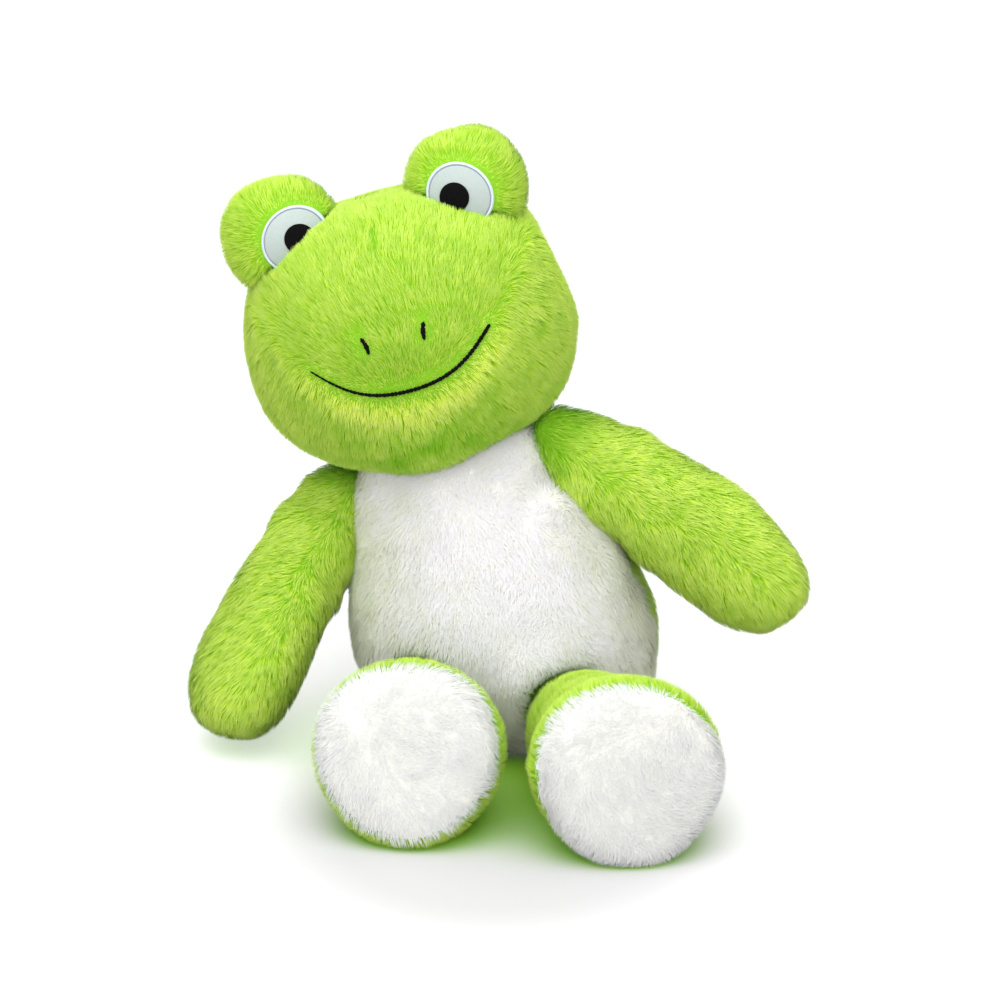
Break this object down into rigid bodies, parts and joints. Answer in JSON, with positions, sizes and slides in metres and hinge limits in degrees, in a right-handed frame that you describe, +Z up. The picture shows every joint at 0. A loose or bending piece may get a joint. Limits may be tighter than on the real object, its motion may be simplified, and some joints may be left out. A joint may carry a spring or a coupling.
{
  "type": "plush frog",
  "caption": "Seated soft toy frog with raised eye lobes, a stitched smile, a white belly and soles, and jointed head, arms and legs.",
  "frame": {"origin": "middle of the flat seat under the torso, on the floor", "axes": "+Z up, -Y the way the frog faces, +X the frog's own left"},
  "size_m": [0.2714, 0.238, 0.2708],
  "materials": {
    "green_pile": "long combed green pile",
    "white_pile": "long combed white pile",
    "eye_satin": "smooth pale blue-grey satin",
    "black_thread": "black satin-stitch embroidery",
    "fibre": "loose white polyester fibre",
    "pouch_cloth": "plain woven cloth"
  },
  "bodies": {
    "torso": {"back_panel": "green_pile", "belly_panel": "white_pile", "torso_stuffing": "fibre", "pellet_pouch": "pouch_cloth"},
    "neck": {"neck_seam": "green_pile"},
    "head": {"head_cover": "green_pile", "head_stuffing": "fibre", "eye_lobe_right": "green_pile", "eye_lobe_left": "green_pile", "eye_white_right": "eye_satin", "eye_white_left": "eye_satin", "pupil_right": "black_thread", "pupil_left": "black_thread", "nostril_right": "black_thread", "nostril_left": "black_thread", "mouth_line": "black_thread"},
    "shoulder_right": {"shoulder_seam_right": "green_pile"},
    "arm_right": {"arm_right": "green_pile", "arm_stuffing_right": "fibre"},
    "hip_right": {"hip_seam_right": "green_pile"},
    "leg_right": {"leg_right": "green_pile", "leg_stuffing_right": "fibre", "sole_right": "white_pile"},
    "shoulder_left": {"shoulder_seam_left": "green_pile"},
    "arm_left": {"arm_left": "green_pile", "arm_stuffing_left": "fibre"},
    "hip_left": {"hip_seam_left": "green_pile"},
    "leg_left": {"leg_left": "green_pile", "leg_stuffing_left": "fibre", "sole_left": "white_pile"}
  },
  "joints": [
    {"name": "head_turn", "type": "hinge", "parent": "torso", "child": "neck", "pos_m": [-0.034, 0.021, 0.13], "axis": [-0.2641, 0.221, 0.9388], "range_deg": [-35, 35]},
    {"name": "head_nod", "type": "hinge", "parent": "neck", "child": "head", "pos_m": [-0.034, 0.021, 0.13], "axis": [0.9614, -0.0171, 0.2745], "range_deg": [-15, 4]},
    {"name": "arm_right_swing", "type": "hinge", "parent": "torso", "child": "shoulder_right", "pos_m": [-0.07621, 0.02588, 0.09472], "axis": [-0.956, 0.1426, -0.2563], "range_deg": [-12, 60]},
    {"name": "arm_right_raise", "type": "hinge", "parent": "shoulder_right", "child": "arm_right", "pos_m": [-0.07621, 0.02588, 0.09472], "axis": [0.1882, 0.9684, -0.1635], "range_deg": [0, 75]},
    {"name": "leg_right_spread", "type": "hinge", "parent": "torso", "child": "hip_right", "pos_m": [-0.04621, -0.04932, 0.02746], "axis": [0, 0, -1], "range_deg": [-3, 30]},
    {"name": "leg_right_lift", "type": "hinge", "parent": "hip_right", "child": "leg_right", "pos_m": [-0.04621, -0.04932, 0.02746], "axis": [-0.9816, 0.1908, 0], "range_deg": [-45, 30]},
    {"name": "arm_left_swing", "type": "hinge", "parent": "torso", "child": "shoulder_left", "pos_m": [0.02814, 0.01032, 0.1227], "axis": [-0.956, 0.1426, -0.2563], "range_deg": [-25, 60]},
    {"name": "arm_left_raise", "type": "hinge", "parent": "shoulder_left", "child": "arm_left", "pos_m": [0.02814, 0.01032, 0.1227], "axis": [-0.1882, -0.9684, 0.1635], "range_deg": [0, 70]},
    {"name": "leg_left_spread", "type": "hinge", "parent": "torso", "child": "hip_left", "pos_m": [0.02437, -0.06304, 0.02716], "axis": [0, 0, 1], "range_deg": [-3, 30]},
    {"name": "leg_left_lift", "type": "hinge", "parent": "hip_left", "child": "leg_left", "pos_m": [0.02437, -0.06304, 0.02716], "axis": [-0.9816, 0.1908, 0], "range_deg": [-45, 30]}
  ]
}
